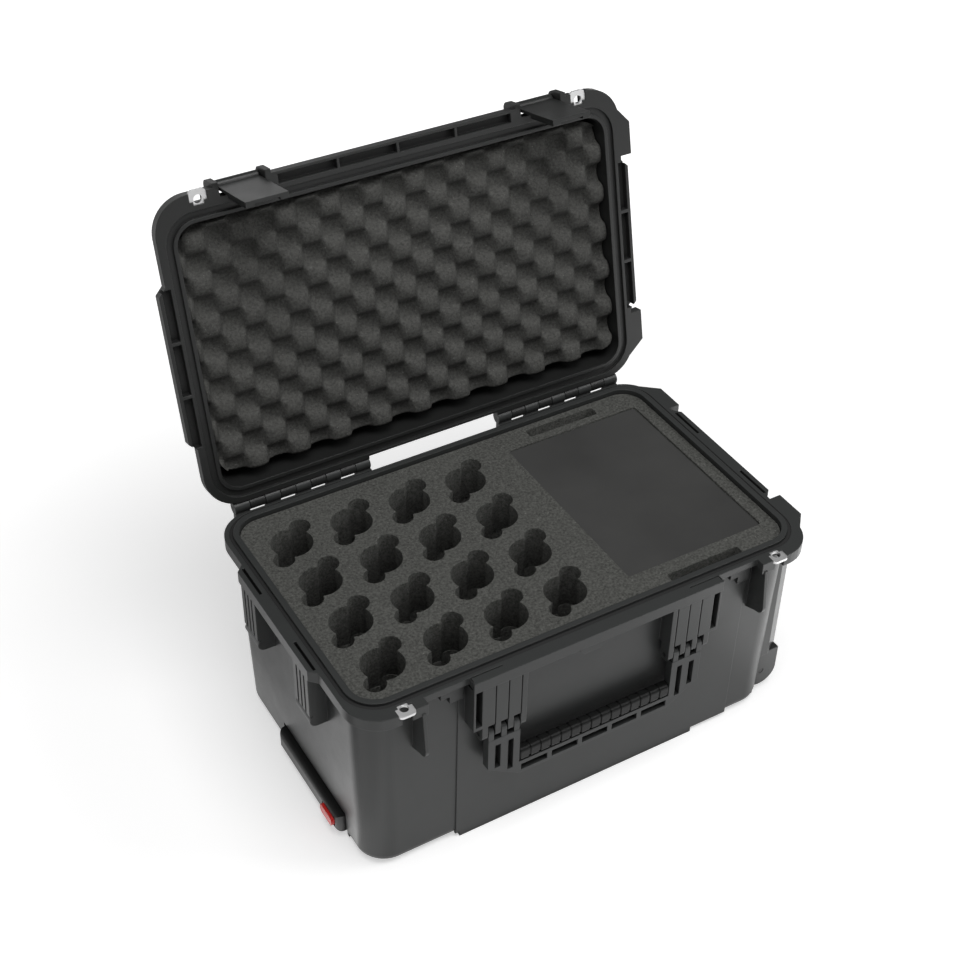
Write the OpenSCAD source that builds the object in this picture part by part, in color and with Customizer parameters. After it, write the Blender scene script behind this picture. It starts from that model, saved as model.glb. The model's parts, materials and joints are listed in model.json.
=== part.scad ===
// Wheeled equipment case with a foam insert for sixteen hand-held pieces.
// Origin: centre of the underside, on the ground. X runs along the case, Y to the hinges, Z up.
// The lid is drawn closed and then swung open about the hinge line.

/* [Interior] */
// Length of the interior at the rim
inside_l = 560; // [540:5:640]
// Width of the interior at the rim
inside_w = 331; // [321:5:381]
// Radius of the shells' outer long edges
edge_r = 10; // [6:1:12]
// Radius of the interior's upright corners
inside_r = 30; // [24:1:36]
// Wall thickness of both shells
wall = 6; // [5:0.5:7]
// How much narrower the interior is at the floor, each end
draft_x = 7; // [3:1:9]
// How much narrower the interior is at the floor, front and back
draft_y = 3; // [1:1:4]

/* [Heights] */
// Height of the parting line above the ground
base_h = 269; // [262:1:300]
// Height of the skid bars and of the tow bay's cover under the floor
skid_h = 5; // [4:0.5:7]
// Thickness of the floor
floor_t = 5; // [4:0.5:7]
// Height of the lid above the parting line
lid_h = 60; // [56:1:90]
// Gap between the closed rims
rim_gap = 0.3; // [0.2:0.1:0.6]

/* [Rim] */
// Reach of the rim past the interior at the front
rim_front = 27.5; // [26:0.5:31]
// Reach of the rim past the interior at the hinges
rim_back = 14.5; // [13:0.5:15]
// Reach of the rim past the interior at the ends
rim_side = 17; // [16:0.5:20]
// Corner radius of the rim
rim_r = 42; // [36:1:46]
// Height of the base's rim
base_rim_h = 15; // [14:0.5:18]
// Height of the lid's rim
lid_rim_h = 12; // [11:0.5:13]
// Extra reach of the rim in the middle of each end
end_bulge = 9; // [7:0.5:12]
// Half length of that bulge
end_bulge_half = 98; // [94:1:99]
// Extra reach of the standing lugs on the wheel end
stand_lug = 6; // [4:0.5:9]
// Distance of a standing lug's inner edge from its wheel's middle
stand_lug_back = 35; // [28:1:36]
// Length of a standing lug
stand_lug_l = 40; // [30:1:42]
// Distance of the pillars' face inside the lugs'
pillar_in = 6; // [5:0.5:12]
// Width of the tongue that stands round the opening
tongue_w = 7; // [6:0.5:8]
// Height of the tongue above the parting line
tongue_h = 3; // [2:0.5:4]
// Width of the gasket
gasket_w = 4.5; // [4:0.5:5]
// Depth of the gasket's groove
gasket_d = 4; // [3:0.5:5]
// How much narrower the lid is at its top, each end
lid_draft = 2; // [1:0.5:5]
// Inset of the lid's inner edge from the base's
lid_inset = 5; // [4:0.5:7]

/* [Hinges] */
// Distance of the hinge line behind the interior
hinge_back = 21; // [20.5:0.5:23]
// Height of the hinge line above the parting line
hinge_up = 6; // [5:0.5:7]
// Angle from closed to fully open
open_deg = 103.3; // [95:0.1:106]
// Distance of each hinge's middle from the end of the interior
hinge_inset = 101; // [98:1:120]
// Knuckles in each hinge, an odd number
knuckles = 9; // [7:2:11]
// Length of one knuckle with its gap
knuckle_pitch = 19.8; // [18:0.2:20.4]
// Radius of a knuckle
knuckle_r = 7.5; // [7:0.25:8]
// Side gap between knuckles
knuckle_gap = 0.8; // [0.6:0.1:1.4]
// Radius of the hinge pins
hinge_pin_r = 3; // [2.5:0.25:3.5]
// Radial clearance of a pin that turns
run_fit = 0.06; // [0.03:0.01:0.09]

/* [Latches] */
// Distance of each latch's middle from the end of the interior
latch_inset = 90; // [88:1:94]
// Width of a latch
latch_w = 50; // [47:1:52]
// Length of a latch below its pin
latch_len = 86; // [78:1:90]
// Thickness of a latch plate
latch_t = 4; // [3.5:0.5:4.5]
// Height of the latch pin above the parting line
latch_pin_up = 19; // [18.5:0.5:21]
// Radius of the latch pins
latch_pin_r = 2.5; // [2:0.25:3]
// Angle that an unlatched latch stands off the rim
latch_rest = 6; // [6:0.5:8]
// Depth of the rim's recess under each latch
latch_recess = 11; // [10.5:0.5:12]
// Width of an ear beside a latch
ear_w = 7; // [6:0.5:7]

/* [Padlock eyes] */
// Distance of each padlock eye from its latch's middle
eye_offset = 52; // [49:0.5:53]
// Width of a padlock plate
eye_plate_w = 20.5; // [19:0.5:22]
// Thickness of a padlock plate
eye_plate_t = 3; // [2:0.5:4]
// Radius of the padlock hole
eye_r = 5; // [4:0.5:5.5]

/* [Front handle] */
// Half of the clear width between the handle brackets
bracket_in = 95; // [90:0.5:96]
// Width of a handle bracket
bracket_w = 67; // [66:0.5:68]
// Width of a bracket finger with its neighbour's
finger_pitch = 16.3; // [16:0.1:16.5]
// Width of a finger
finger_w = 7; // [6.6:0.1:7.2]
// Height of the handle pin below the parting line
handle_pin_down = 90; // [86:1:96]
// Radius of the handle pins
handle_pin_r = 3; // [2.5:0.25:3.5]
// Length of the handle from its pin to its lower edge
handle_len = 84; // [78:1:92]
// Thickness of the handle
handle_t = 11; // [10:0.5:12]
// Height of the handle's rail
rail_h = 19; // [17:0.5:22]
// Thickness of the rubber grip, up and down
grip_h = 18; // [16:0.5:23]
// Ribs along the grip
grip_ribs = 15; // [7:2:17]

/* [Tow handle] */
// Middle of the tow handle along Y
tow_y = -27; // [-29:1:-10]
// Length of the tow grip
tow_grip_l = 158; // [140:2:160]
// Height of the tow grip
tow_grip_h = 26; // [22:1:30]
// Depth of the tow grip
tow_grip_d = 20; // [18:1:24]
// Room for fingers behind the tow grip
finger_room = 20; // [16:1:24]
// Spacing of the tow tubes
tube_gap = 110; // [100:2:114]
// Outer radius of the sliding tubes
tube_r = 7.5; // [6.5:0.25:8]
// Wall of the tubes
tube_t = 1.4; // [1:0.1:2]
// Length of the fixed tubes
tube_l = 390; // [320:5:400]
// Length of the red release button
button_l = 30; // [24:1:34]
// Travel of the release button
button_travel = 3; // [2:0.5:4]

/* [Wheels] */
// Radius of a wheel
wheel_r = 27; // [25:0.5:28]
// Width of a wheel
wheel_w = 24; // [22:0.5:25]
// Distance of each wheel's middle inside the interior's long side
wheel_inset = 27.5; // [25.5:0.5:31]
// Height of the wheel axles
wheel_z = 34; // [33:0.5:36]
// Distance of the axles inside the end of the interior
axle_x_in = 2; // [0:0.5:4]
// Radius of the axles
axle_r = 4; // [3:0.5:5]

/* [Foam] */
// Height of the foam below the parting line
foam_down = 3; // [2:0.5:5]
// Radius of a stowage hole
hole_r = 24.5; // [22:0.5:25]
// Radius of the finger lobes beside a hole
lobe_r = 12.5; // [10:0.5:13]
// Distance of a lobe's middle from the hole's
lobe_out = 30; // [28:0.5:30]
// Direction of the lobes
lobe_deg = 47; // [40:1:50]
// Thickness of the lower foam over the wheel wells
foam_under = 10.5; // [6:0.5:60]
// Spacing of the holes along X
hole_px = 76.7; // [74:0.1:77]
// Spacing of the holes along Y
hole_py = 74.2; // [72:0.1:74.6]
// Middle of the last column of holes along X
hole_last_x = 0; // [-2:1:2]
// Length of the smooth pad along X
pad_l = 187; // [170:1:188]
// Width of the smooth pad along Y
pad_w = 262; // [240:1:264]
// Thickness of the smooth pad
pad_t = 40; // [20:1:50]
// Length of the two finger slots
slot_l = 99; // [80:1:110]
// Width of the two finger slots
slot_w = 14; // [10:1:15]
// Spacing of the lid foam's peaks along X
peak_px = 55; // [46:1:60]
// Spacing of the lid foam's peaks along Y
peak_py = 49; // [42:1:56]
// Height of the lid foam's peaks
peak_h = 21; // [16:1:26]

/* [Hidden] */
$fn = 64;
hull_fn = 64;
eps = 0.01;

// Interior and shell, measured from the centre
in_x = inside_l / 2;
in_y = inside_w / 2;
out_x = in_x + wall;
out_y = in_y + wall;
out_r = inside_r + wall;
rim_x = in_x + rim_side;
rim_y0 = -(in_y + rim_front);
rim_y1 = in_y + rim_back;
lid_z0 = base_h + rim_gap;
lid_top = base_h + lid_h;
foam_z = base_h - foam_down;
rim_low = base_h - base_rim_h;
lid_rim_top = lid_z0 + lid_rim_h;
lug_x = rim_x + end_bulge + stand_lug;
wheel_y = in_y - wheel_inset;
stand_lug_in = wheel_y - stand_lug_back;

// Front wall's raised panel
panel_x0 = -170;
panel_x1 = 214;
panel_t = 1.5;
panel_y = -(out_y + panel_t);
skid_x0 = -(in_x - 115);
skid_x1 = in_x - 118;
skid_w = 24;

// Hinges
hinge_y = in_y + hinge_back;
hinge_z = base_h + hinge_up;
hinge_x = in_x - hinge_inset;
hinge_l = knuckles * knuckle_pitch;
knuckle_clear = knuckle_r + 0.6;

// Latches
latch_x = in_x - latch_inset;
latch_face = rim_y0 + latch_recess;
latch_pin_y = rim_y0 + 4;
latch_y0 = latch_pin_y - 1.5;
latch_y1 = latch_y0 + latch_t;
latch_pin_z = base_h + latch_pin_up;
latch_barrel = 6;
latch_zone = latch_w / 2 + 2.5;
hook_z = rim_low - 2.5;
hook_h = 7;
hook_reach = 3;

// Padlock eyes
eye_x = latch_x + eye_offset;
eye_y = rim_y0 + 8;
eye_plate_l = 18.5;
eye_plate_y0 = eye_y - 11;
eye_skin = 1.2;
eye_base_z = base_h - eye_skin - eye_plate_t;
eye_lid_z = lid_z0 + eye_skin;

// Front handle
handle_y = rim_y0 + 9;
handle_z = base_h - handle_pin_down;
finger_r = 8;
bracket_face = rim_y0 + 1;
bracket_low = handle_z + 15;
frame_x = bracket_in + finger_pitch * 2.5 + finger_w;
frame_low = handle_z - handle_len;
frame_in = bracket_in + finger_w;
rail_top = frame_low + rail_h;
rail_pitch = 2 * frame_in / 5;

// Tow bay and handle
bay_half = tow_grip_l / 2 + 2;
bay_top = 42;
bay_x0 = -(out_x + 10);
tube_z = 24;
fixed_r = tube_r + 0.08 + tube_t;
tow_x0 = -(in_x + 10);
tow_x1 = tow_x0 + tow_grip_d;
socket_l = 9;
mouth_x = tow_x1 + finger_room;
tube_x1 = mouth_x + tube_l;
bay_x1 = tube_x1 + 14;
cover_t = skid_h;
button_h = 13;
button_y = tow_y - tow_grip_l / 2 + 22;

// Wheels
axle_x = in_x - axle_x_in;
well_x0 = axle_x - wheel_r - 7;
well_half = wheel_w / 2 + 5.5;
well_top = wheel_z + wheel_r + 5;
cheek_r = 23;

// Foam
foam_gap = 0.5;
foam_low = well_top + 4 + foam_gap + foam_under;
hole_depth = foam_z - foam_low;
hole_y0 = -115;
pad_x0 = 75;
slot_x0 = 114;
slot_depth = 60;

// ---- Shapes used by several pieces ----

// A rectangle with round corners, in the middle of the plane
module round_rect(l, w, r) {
    square([l - 2 * r, w], center = true);
    square([l, w - 2 * r], center = true);
    for (x = [-1, 1], y = [-1, 1])
        translate([x * (l / 2 - r), y * (w / 2 - r)]) circle(r);
}

// The same, given by its edges
module round_box(x0, x1, y0, y1, z0, z1, r) {
    translate([(x0 + x1) / 2, (y0 + y1) / 2, z0])
        linear_extrude(z1 - z0) round_rect(x1 - x0, y1 - y0, r);
}

// A plain block given by its edges
module block(x0, x1, y0, y1, z0, z1) {
    translate([x0, y0, z0]) cube([x1 - x0, y1 - y0, z1 - z0]);
}

// A tub with leaning walls: x and y are half sizes at z0 and at z1, and e rounds the z0 edge
module tub(x0, y0, z0, x1, y1, z1, r, e = 0) {
    up = z1 > z0 ? 1 : -1;
    hull() {
        for (a = e > 0 ? [0, 30, 60, 90] : [90]) {
            in = e * (1 - sin(a));
            z = z0 + up * e * (1 - cos(a));
            translate([0, 0, up > 0 ? z : z - eps]) linear_extrude(eps)
                round_rect(2 * (x0 - in), 2 * (y0 - in), r - in, $fn = hull_fn);
        }
        translate([0, 0, up > 0 ? z1 - eps : z1]) linear_extrude(eps)
            round_rect(2 * x1, 2 * y1, r, $fn = hull_fn);
    }
}

// A rod along X
module x_rod(x0, x1, y, z, r) {
    translate([x0, y, z]) rotate([0, 90, 0]) cylinder(r = r, h = x1 - x0);
}

// A rod along Y
module y_rod(x, y0, y1, z, r) {
    translate([x, y0, z]) rotate([-90, 0, 0]) cylinder(r = r, h = y1 - y0);
}

// Swings the lid and what it carries from closed to open
module opened() {
    translate([0, hinge_y, hinge_z]) rotate([-open_deg, 0, 0])
        translate([0, -hinge_y, -hinge_z]) children();
}

// Swings a shape from the latched place off the rim, about the latch's own pin
module unlatched() {
    translate([0, latch_pin_y, latch_pin_z]) rotate([-latch_rest, 0, 0])
        translate([0, -latch_pin_y, -latch_pin_z]) children();
}

// Draws its children on the left and mirrored on the right
module both_sides() {
    children();
    mirror([1, 0, 0]) children();
}

// ---- Rim, alike on base and lid ----

module rim_outline() {
    translate([0, (rim_y0 + rim_y1) / 2]) round_rect(2 * rim_x, rim_y1 - rim_y0, rim_r);
    for (s = [-1, 1])
        polygon([
            [0, -end_bulge_half], [s * rim_x, -end_bulge_half],
            [s * (rim_x + end_bulge), -end_bulge_half + end_bulge],
            [s * (rim_x + end_bulge), end_bulge_half - end_bulge],
            [s * rim_x, end_bulge_half], [0, end_bulge_half]
        ]);
    // Lugs on the wheel end, cut off square to the corners
    for (s = [-1, 1])
        polygon([
            [0, s * stand_lug_in], [lug_x, s * stand_lug_in],
            [lug_x, s * (stand_lug_in + stand_lug_l)],
            [lug_x - rim_r, s > 0 ? rim_y1 - 2.5 : rim_y0 + 2.5],
            [rim_x - rim_r + 3, s > 0 ? rim_y1 : rim_y0], [0, s > 0 ? rim_y1 : rim_y0]
        ]);
}

// What both rims leave open at the front: the latches' recesses and the padlock notches
module rim_front_cuts(z0, z1) {
    for (s = [-1, 1]) {
        block(s * latch_x - latch_zone, s * latch_x + latch_zone,
            rim_y0 - 1, latch_face, z0, z1);
        block(s * eye_x - eye_plate_w / 2 + 4, s * eye_x + eye_plate_w / 2 - 4,
            rim_y0 - 1, eye_y + eye_r + 1, z0, z1);
    }
}

// Where a padlock plate lies in a rim
module eye_seats(z0, z1) {
    for (s = [-1, 1])
        block(s * eye_x - eye_plate_w / 2, s * eye_x + eye_plate_w / 2,
            rim_y0 - 1, eye_plate_y0 + eye_plate_l, z0, z1);
}

// Where the rim's skin is cut away over the front of a padlock plate
module eye_windows(z0, z1) {
    for (s = [-1, 1])
        block(s * eye_x - eye_plate_w / 2, s * eye_x + eye_plate_w / 2,
            rim_y0 - 1, eye_y + 2, z0, z1);
}

// The knuckles of one hinge: first = 0 for the base's, 1 for the lid's
module knuckle_slots(first, r, grow) {
    for (s = [-1, 1], i = [first : 2 : knuckles - 1]) {
        x = s * hinge_x - hinge_l / 2 + i * knuckle_pitch;
        x_rod(x + knuckle_gap / 2 - grow, x + knuckle_pitch - knuckle_gap / 2 + grow,
            hinge_y, hinge_z, r);
    }
}

// The webs that carry the knuckles from a rim
module knuckle_webs(first, y0, z0, z1) {
    for (s = [-1, 1], i = [first : 2 : knuckles - 1]) {
        x = s * hinge_x - hinge_l / 2 + i * knuckle_pitch;
        block(x + knuckle_gap / 2, x + knuckle_pitch - knuckle_gap / 2,
            y0, hinge_y, z0, z1);
    }
}

// ---- Base ----

// The ground outline of the space over the wheels and the tow bay, grown by g
module floor_humps(g) {
    block(-in_x - wall / 2, bay_x1 + g, tow_y - bay_half - g, tow_y + bay_half + g,
        skid_h, bay_top + g);
    for (s = [-1, 1])
        block(well_x0 - g, out_x - wall / 2, s * wheel_y - well_half - g,
            s * wheel_y + well_half + g, skid_h, well_top + g);
}

module handle_bracket() {
    difference() {
        union() {
            block(bracket_in, bracket_in + bracket_w, bracket_face, -out_y + 1,
                bracket_low, rim_low + 2);
            for (i = [0 : 3]) {
                x = bracket_in + i * finger_pitch;
                block(x, x + finger_w, handle_y - finger_r, handle_y + finger_r - 1,
                    handle_z, bracket_low + 1);
                x_rod(x, x + finger_w, handle_y, handle_z, finger_r);
            }
        }
        block(bracket_in + bracket_w - 10.5, bracket_in + bracket_w - 2.5,
            bracket_face - 1, panel_y, bracket_low + 5, rim_low);
        for (i = [0 : 2]) {
            x = bracket_in + i * finger_pitch + finger_w;
            block(x - 0.6, x + 0.8, bracket_face - 1, bracket_face + 1.5, bracket_low - 1,
                rim_low + 3);
        }
        x_rod(bracket_in - 1, bracket_in + bracket_w, handle_y, handle_z,
            handle_pin_r + run_fit / 3);
    }
}

// The stepped blocks behind the latches' hooks
module latch_catches() {
    face = latch_face + hook_reach + 2.5;
    for (s = [-1, 1]) {
        block(s * latch_x + 7, s * latch_x + 24, face, -out_y + 1, rim_low - 18, rim_low + 1);
        block(s * latch_x - 4, s * latch_x + 8, face, -out_y + 1, rim_low - 8, rim_low + 1);
    }
}

// The groove that outlines a thumb pad on the rim, over a handle bracket
module pad_groove() {
    x0 = bracket_in + 27;
    x1 = bracket_in + bracket_w;
    block(x0, x1, rim_y0 + 10, rim_y0 + 11, base_h - 1.2, base_h + 1);
    block(x1 - 1, x1, rim_y0 + 4, rim_y0 + 11, base_h - 1.2, base_h + 1);
}

module latch_fin() {
    x = latch_x + latch_zone + 3.5;
    y0 = rim_y0 - 7;
    low = rim_low - 62;
    r = 12;
    translate([x, 0, 0]) rotate([90, 0, 90]) linear_extrude(4) {
        polygon([
            [-out_y + 1, rim_low + 3], [rim_y0 - 1, rim_low + 3], [y0, low + r],
            [y0 + r, low], [-out_y + 1, low - 7]
        ]);
        translate([y0 + r, low + r]) circle(r);
    }
}

// One of the two blocks on the left end that flank the lift grip
module end_block(s) {
    y0 = 49;
    y1 = 85;
    x_face = rim_x + end_bulge - 1;
    difference() {
        union() {
            block(-x_face, -out_x + 4, min(s * y0, s * y1), max(s * y0, s * y1),
                rim_low - 60, rim_low + 2);
            y_rod(-x_face + 9, min(s * y0, s * y1), max(s * y0, s * y1), rim_low - 68, 9);
            block(-x_face + 9, -out_x + 8, min(s * y0, s * y1), max(s * y0, s * y1),
                rim_low - 77, rim_low - 59);
        }
        for (i = [0 : 2]) {
            y = s * (y0 + 9 + i * 9);
            block(-x_face - 1, -x_face + 6, y - 1.5, y + 1.5, rim_low - 62, rim_low - 3);
        }
    }
}

// One of the two pillars on the wheel end, from a lug down to its wheel
module wheel_pillar(s) {
    y0 = stand_lug_in;
    y1 = stand_lug_in + stand_lug_l;
    x1 = lug_x - pillar_in;
    translate([0, 0, well_top - 1]) linear_extrude(rim_low + 1 - well_top + 1) {
        polygon([
            [out_x - 30, s * y0], [x1 - 5, s * y0], [x1, s * (y0 + 5)], [x1, s * (y1 - 2)],
            [x1 - 3, s * (y1 + 1)], [x1 - 24, s * (y1 + 15)], [out_x - 30, s * (y1 + 15)]
        ]);
    }
}

// The raised panel leans with the front wall
module front_panel() {
    intersection() {
        tub(out_x - draft_x + panel_t, out_y - draft_y + panel_t, skid_h,
            out_x + panel_t, out_y + panel_t, base_h, out_r + panel_t, 3);
        block(panel_x0, panel_x1, -out_y - 10, -out_y + draft_y + 3, skid_h, rim_low + 1);
    }
}

module base_outer() {
    tub(out_x - draft_x, out_y - draft_y, skid_h, out_x, out_y, base_h, out_r, edge_r);
    difference() {
        translate([0, 0, rim_low]) linear_extrude(base_rim_h) rim_outline();
        round_box(-rim_x + 4, rim_x - 4, rim_y0 + 4, rim_y1 - 4, rim_low - 1,
            rim_low + 6, rim_r - 4);
    }
    // Tongue
    round_box(-in_x - tongue_w, in_x + tongue_w, -in_y - tongue_w, in_y + tongue_w,
        base_h - 1, base_h + tongue_h, inside_r + tongue_w);
    // Raised panel on the front wall and the skid bars under it
    front_panel();
    for (s = [-1, 1])
        block(skid_x0, skid_x1, s > 0 ? out_y - skid_w : panel_y + draft_y,
            s > 0 ? out_y - draft_y : -out_y + skid_w, 0, skid_h + 3);
    both_sides() handle_bracket();
    both_sides() latch_fin();
    latch_catches();
    for (s = [-1, 1]) end_block(s);
    for (s = [-1, 1]) wheel_pillar(s);
    // Half-round tab under the rim, in the middle
    translate([-11, panel_y, rim_low + 1]) rotate([90, 0, 0])
        linear_extrude(rim_front - wall - panel_t - 3) intersection() {
            circle(17);
            translate([-17, -13]) square([34, 13]);
        }
}

module base_shell() color([0.29, 0.31, 0.31]) {
    difference() {
        union() {
            difference() {
                base_outer();
                tub(in_x - draft_x, in_y - draft_y, skid_h + floor_t, in_x, in_y,
                    base_h + tongue_h + 1, inside_r);
            }
            intersection() {
                floor_humps(4);
                tub(out_x - draft_x - 1, out_y - draft_y - 1, skid_h, out_x, out_y,
                    base_h, out_r);
            }
            knuckle_slots(0, knuckle_r, 0);
            knuckle_webs(0, rim_y1 - 5, rim_low + 4, base_h);
            knuckle_webs(0, rim_y1 + 0.4, rim_low + 4, hinge_z);
        }
        // Gasket groove, outside the tongue
        difference() {
            round_box(-in_x - tongue_w - gasket_w, in_x + tongue_w + gasket_w,
                -in_y - tongue_w - gasket_w, in_y + tongue_w + gasket_w,
                base_h - gasket_d, base_h + 1, inside_r + tongue_w + gasket_w);
            round_box(-in_x - tongue_w, in_x + tongue_w, -in_y - tongue_w, in_y + tongue_w,
                base_h - gasket_d - 1, base_h + 2, inside_r + tongue_w);
        }
        rim_front_cuts(rim_low - 1, base_h + 1);
        eye_seats(eye_base_z, eye_base_z + eye_plate_t);
        eye_windows(eye_base_z + eye_plate_t, base_h + 1);
        both_sides() pad_groove();
        // Long slots in the rim's ends
        for (s = [-1, 1], t = [-1, 1])
            block(s * (rim_x + 1.5) - 1.75, s * (rim_x + 1.5) + 1.75,
                t * 67 - 24, t * 67 + 24, base_h - 7, base_h + 1);
        // Room for the lid's knuckles
        knuckle_slots(1, knuckle_clear, knuckle_gap / 2);
        block(-hinge_x + hinge_l / 2, hinge_x - hinge_l / 2, rim_y1 - 3.5, rim_y1 + 1,
            rim_low - 1, base_h + 1);
        // Bores
        for (s = [-1, 1])
            x_rod(s * hinge_x - hinge_l / 2 - 1, s * hinge_x + hinge_l / 2 + 1,
                hinge_y, hinge_z, hinge_pin_r + run_fit / 3);
        // Tow bay, open below and at the left end
        block(bay_x0, bay_x1, tow_y - bay_half, tow_y + bay_half, -1, bay_top);
        // Wheel wells
        for (s = [-1, 1])
            block(well_x0, rim_x + 20, s * wheel_y - well_half, s * wheel_y + well_half,
                -1, well_top);
    }
}

module rim_gasket() color([0.05, 0.05, 0.05]) {
    difference() {
        round_box(-in_x - tongue_w - gasket_w, in_x + tongue_w + gasket_w,
            -in_y - tongue_w - gasket_w, in_y + tongue_w + gasket_w,
            base_h - gasket_d, base_h - 0.5, inside_r + tongue_w + gasket_w);
        round_box(-in_x - tongue_w, in_x + tongue_w, -in_y - tongue_w, in_y + tongue_w,
            base_h - gasket_d - 1, base_h + 1, inside_r + tongue_w);
    }
}

// A padlock plate: its hole is clear of the rim, and two round corners face forward
module padlock_plate(s, z) {
    color([0.8, 0.8, 0.8]) difference() {
        union() {
            block(s * eye_x - eye_plate_w / 2, s * eye_x + eye_plate_w / 2,
                eye_plate_y0 + 5, eye_plate_y0 + eye_plate_l, z, z + eye_plate_t);
            block(s * eye_x - eye_plate_w / 2 + 5, s * eye_x + eye_plate_w / 2 - 5,
                eye_plate_y0, eye_plate_y0 + 6, z, z + eye_plate_t);
            for (t = [-1, 1])
                translate([s * eye_x + t * (eye_plate_w / 2 - 5), eye_plate_y0 + 5, z])
                    cylinder(r = 5, h = eye_plate_t);
        }
        translate([s * eye_x, eye_y, z - 1]) cylinder(r = eye_r, h = eye_plate_t + 2);
    }
}

module hinge_pin(s) {
    color([0.6, 0.6, 0.6]) {
        x_rod(s * hinge_x - hinge_l / 2 + knuckle_gap / 2,
            s * hinge_x + hinge_l / 2 - knuckle_gap / 2, hinge_y, hinge_z, hinge_pin_r);
    }
}

// ---- Lid, drawn closed ----

module lid_rim_pockets() {
    z1 = lid_z0 + 8;
    // Ends: three pockets between ribs, outside the inner band
    for (s = [-1, 1], i = [-1 : 1]) {
        x0 = in_x + tongue_w + gasket_w;
        x1 = rim_x + end_bulge - 4;
        block(min(s * x0, s * x1), max(s * x0, s * x1), i * 65 - 30.5, i * 65 + 30.5,
            lid_z0 - 1, z1);
    }
    // Front: a channel with ribs
    for (i = [-2 : 1])
        block(i * 75 + 1.5, (i + 1) * 75 - 1.5, rim_y0 + 3,
            -in_y - tongue_w - gasket_w - 2, lid_z0 - 1, z1);
}

module latch_ears() {
    for (s = [-1, 1], t = [-1, 1])
        translate([s * latch_x + t * (latch_zone + ear_w / 2) - ear_w / 2, 0, 0])
            rotate([90, 0, 90]) linear_extrude(ear_w) {
                translate([latch_pin_y, latch_pin_z]) circle(latch_barrel + 3);
                translate([latch_pin_y - latch_barrel - 3, lid_z0])
                    square([latch_barrel + 9, latch_pin_z - lid_z0]);
                translate([latch_pin_y, lid_z0])
                    square([-out_y + 4 - latch_pin_y, latch_pin_up + latch_barrel + 2]);
            }
}

module lid_shell() color([0.27, 0.29, 0.29]) opened() {
    difference() {
        union() {
            tub(out_x - lid_draft, out_y - draft_y, lid_top, out_x, out_y, lid_z0, out_r,
                edge_r);
            translate([0, 0, lid_z0]) linear_extrude(lid_rim_h) rim_outline();
            latch_ears();
            knuckle_slots(1, knuckle_r, 0);
            knuckle_webs(1, rim_y1 - 5, hinge_z - 5, lid_rim_top - 2);
            // Raised ribs across the top
            for (i = [-2 : 2])
                block(i * 95 - 20, i * 95 + 20, -out_y + 30, out_y - 30,
                    lid_top - 1, lid_top + 2.5);
        }
        // Inside
        tub(in_x - lid_inset, in_y - lid_inset, lid_z0 - 1, in_x - lid_inset - lid_draft,
            in_y - lid_inset - draft_y, lid_top - floor_t, inside_r - lid_inset);
        // Groove for the base's tongue
        difference() {
            round_box(-in_x - tongue_w - 0.6, in_x + tongue_w + 0.6,
                -in_y - tongue_w - 0.6, in_y + tongue_w + 0.6,
                lid_z0 - 1, lid_z0 + tongue_h + 0.6, inside_r + tongue_w + 0.6);
            round_box(-in_x + 0.6, in_x - 0.6, -in_y + 0.6, in_y - 0.6,
                lid_z0 - 2, lid_z0 + tongue_h + 2, inside_r - 0.6);
        }
        lid_rim_pockets();
        rim_front_cuts(lid_z0 - 1, lid_rim_top + 1);
        eye_seats(eye_lid_z, eye_lid_z + eye_plate_t);
        eye_windows(lid_z0 - 1, eye_lid_z);
        knuckle_slots(0, knuckle_clear, knuckle_gap / 2);
        block(-hinge_x + hinge_l / 2, hinge_x - hinge_l / 2, rim_y1 - 3.5, rim_y1 + 1,
            lid_z0 - 1, lid_rim_top + 1);
        for (s = [-1, 1]) {
            x_rod(s * hinge_x - hinge_l / 2 - 1, s * hinge_x + hinge_l / 2 + 1,
                hinge_y, hinge_z, hinge_pin_r + run_fit);
            x_rod(s * latch_x - latch_zone - ear_w - 1, s * latch_x + latch_zone + ear_w + 1,
                latch_pin_y, latch_pin_z, latch_pin_r + run_fit / 3);
        }
    }
}

// Egg-crate foam: blunt peaks and hollows by turns, from two crossed waves of four steps
foam_lx = in_x - lid_inset - lid_draft - 0.5;
foam_ly0 = -(in_y - lid_inset - draft_y - 3);
foam_ly1 = in_y - lid_inset - draft_y - 12;
foam_back = lid_top - floor_t;
foam_wx = round(foam_lx * 2 / peak_px);
foam_wy = round((foam_ly1 - foam_ly0) / peak_py);
foam_nx = 4 * foam_wx;
foam_ny = 4 * foam_wy;
foam_n = (foam_nx + 1) * (foam_ny + 1);
foam_cr = inside_r - lid_inset;
foam_my = (foam_ly0 + foam_ly1) / 2;
// A point drawn in to the round corners that fit the lid's
function foam_in(x, y) =
    let (cx = foam_lx - foam_cr, cy = (foam_ly1 - foam_ly0) / 2 - foam_cr,
        dx = abs(x) - cx, dy = abs(y - foam_my) - cy, d = norm([dx, dy]))
    dx > 0 && dy > 0 && d > foam_cr
        ? [sign(x) * (cx + dx * foam_cr / d),
            foam_my + sign(y - foam_my) * (cy + dy * foam_cr / d)]
        : [x, y];
function foam_pt(i, j, back) = concat(
    foam_in(-foam_lx + 2 * foam_lx * i / foam_nx,
        foam_ly0 + (foam_ly1 - foam_ly0) * j / foam_ny),
    back ? foam_back : lid_z0 + 5 + (foam_peak(i, j) ? 0 : peak_h));
function foam_peak(i, j) = cos(90 * i + 45) * cos(90 * j + 45) > 0;

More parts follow.
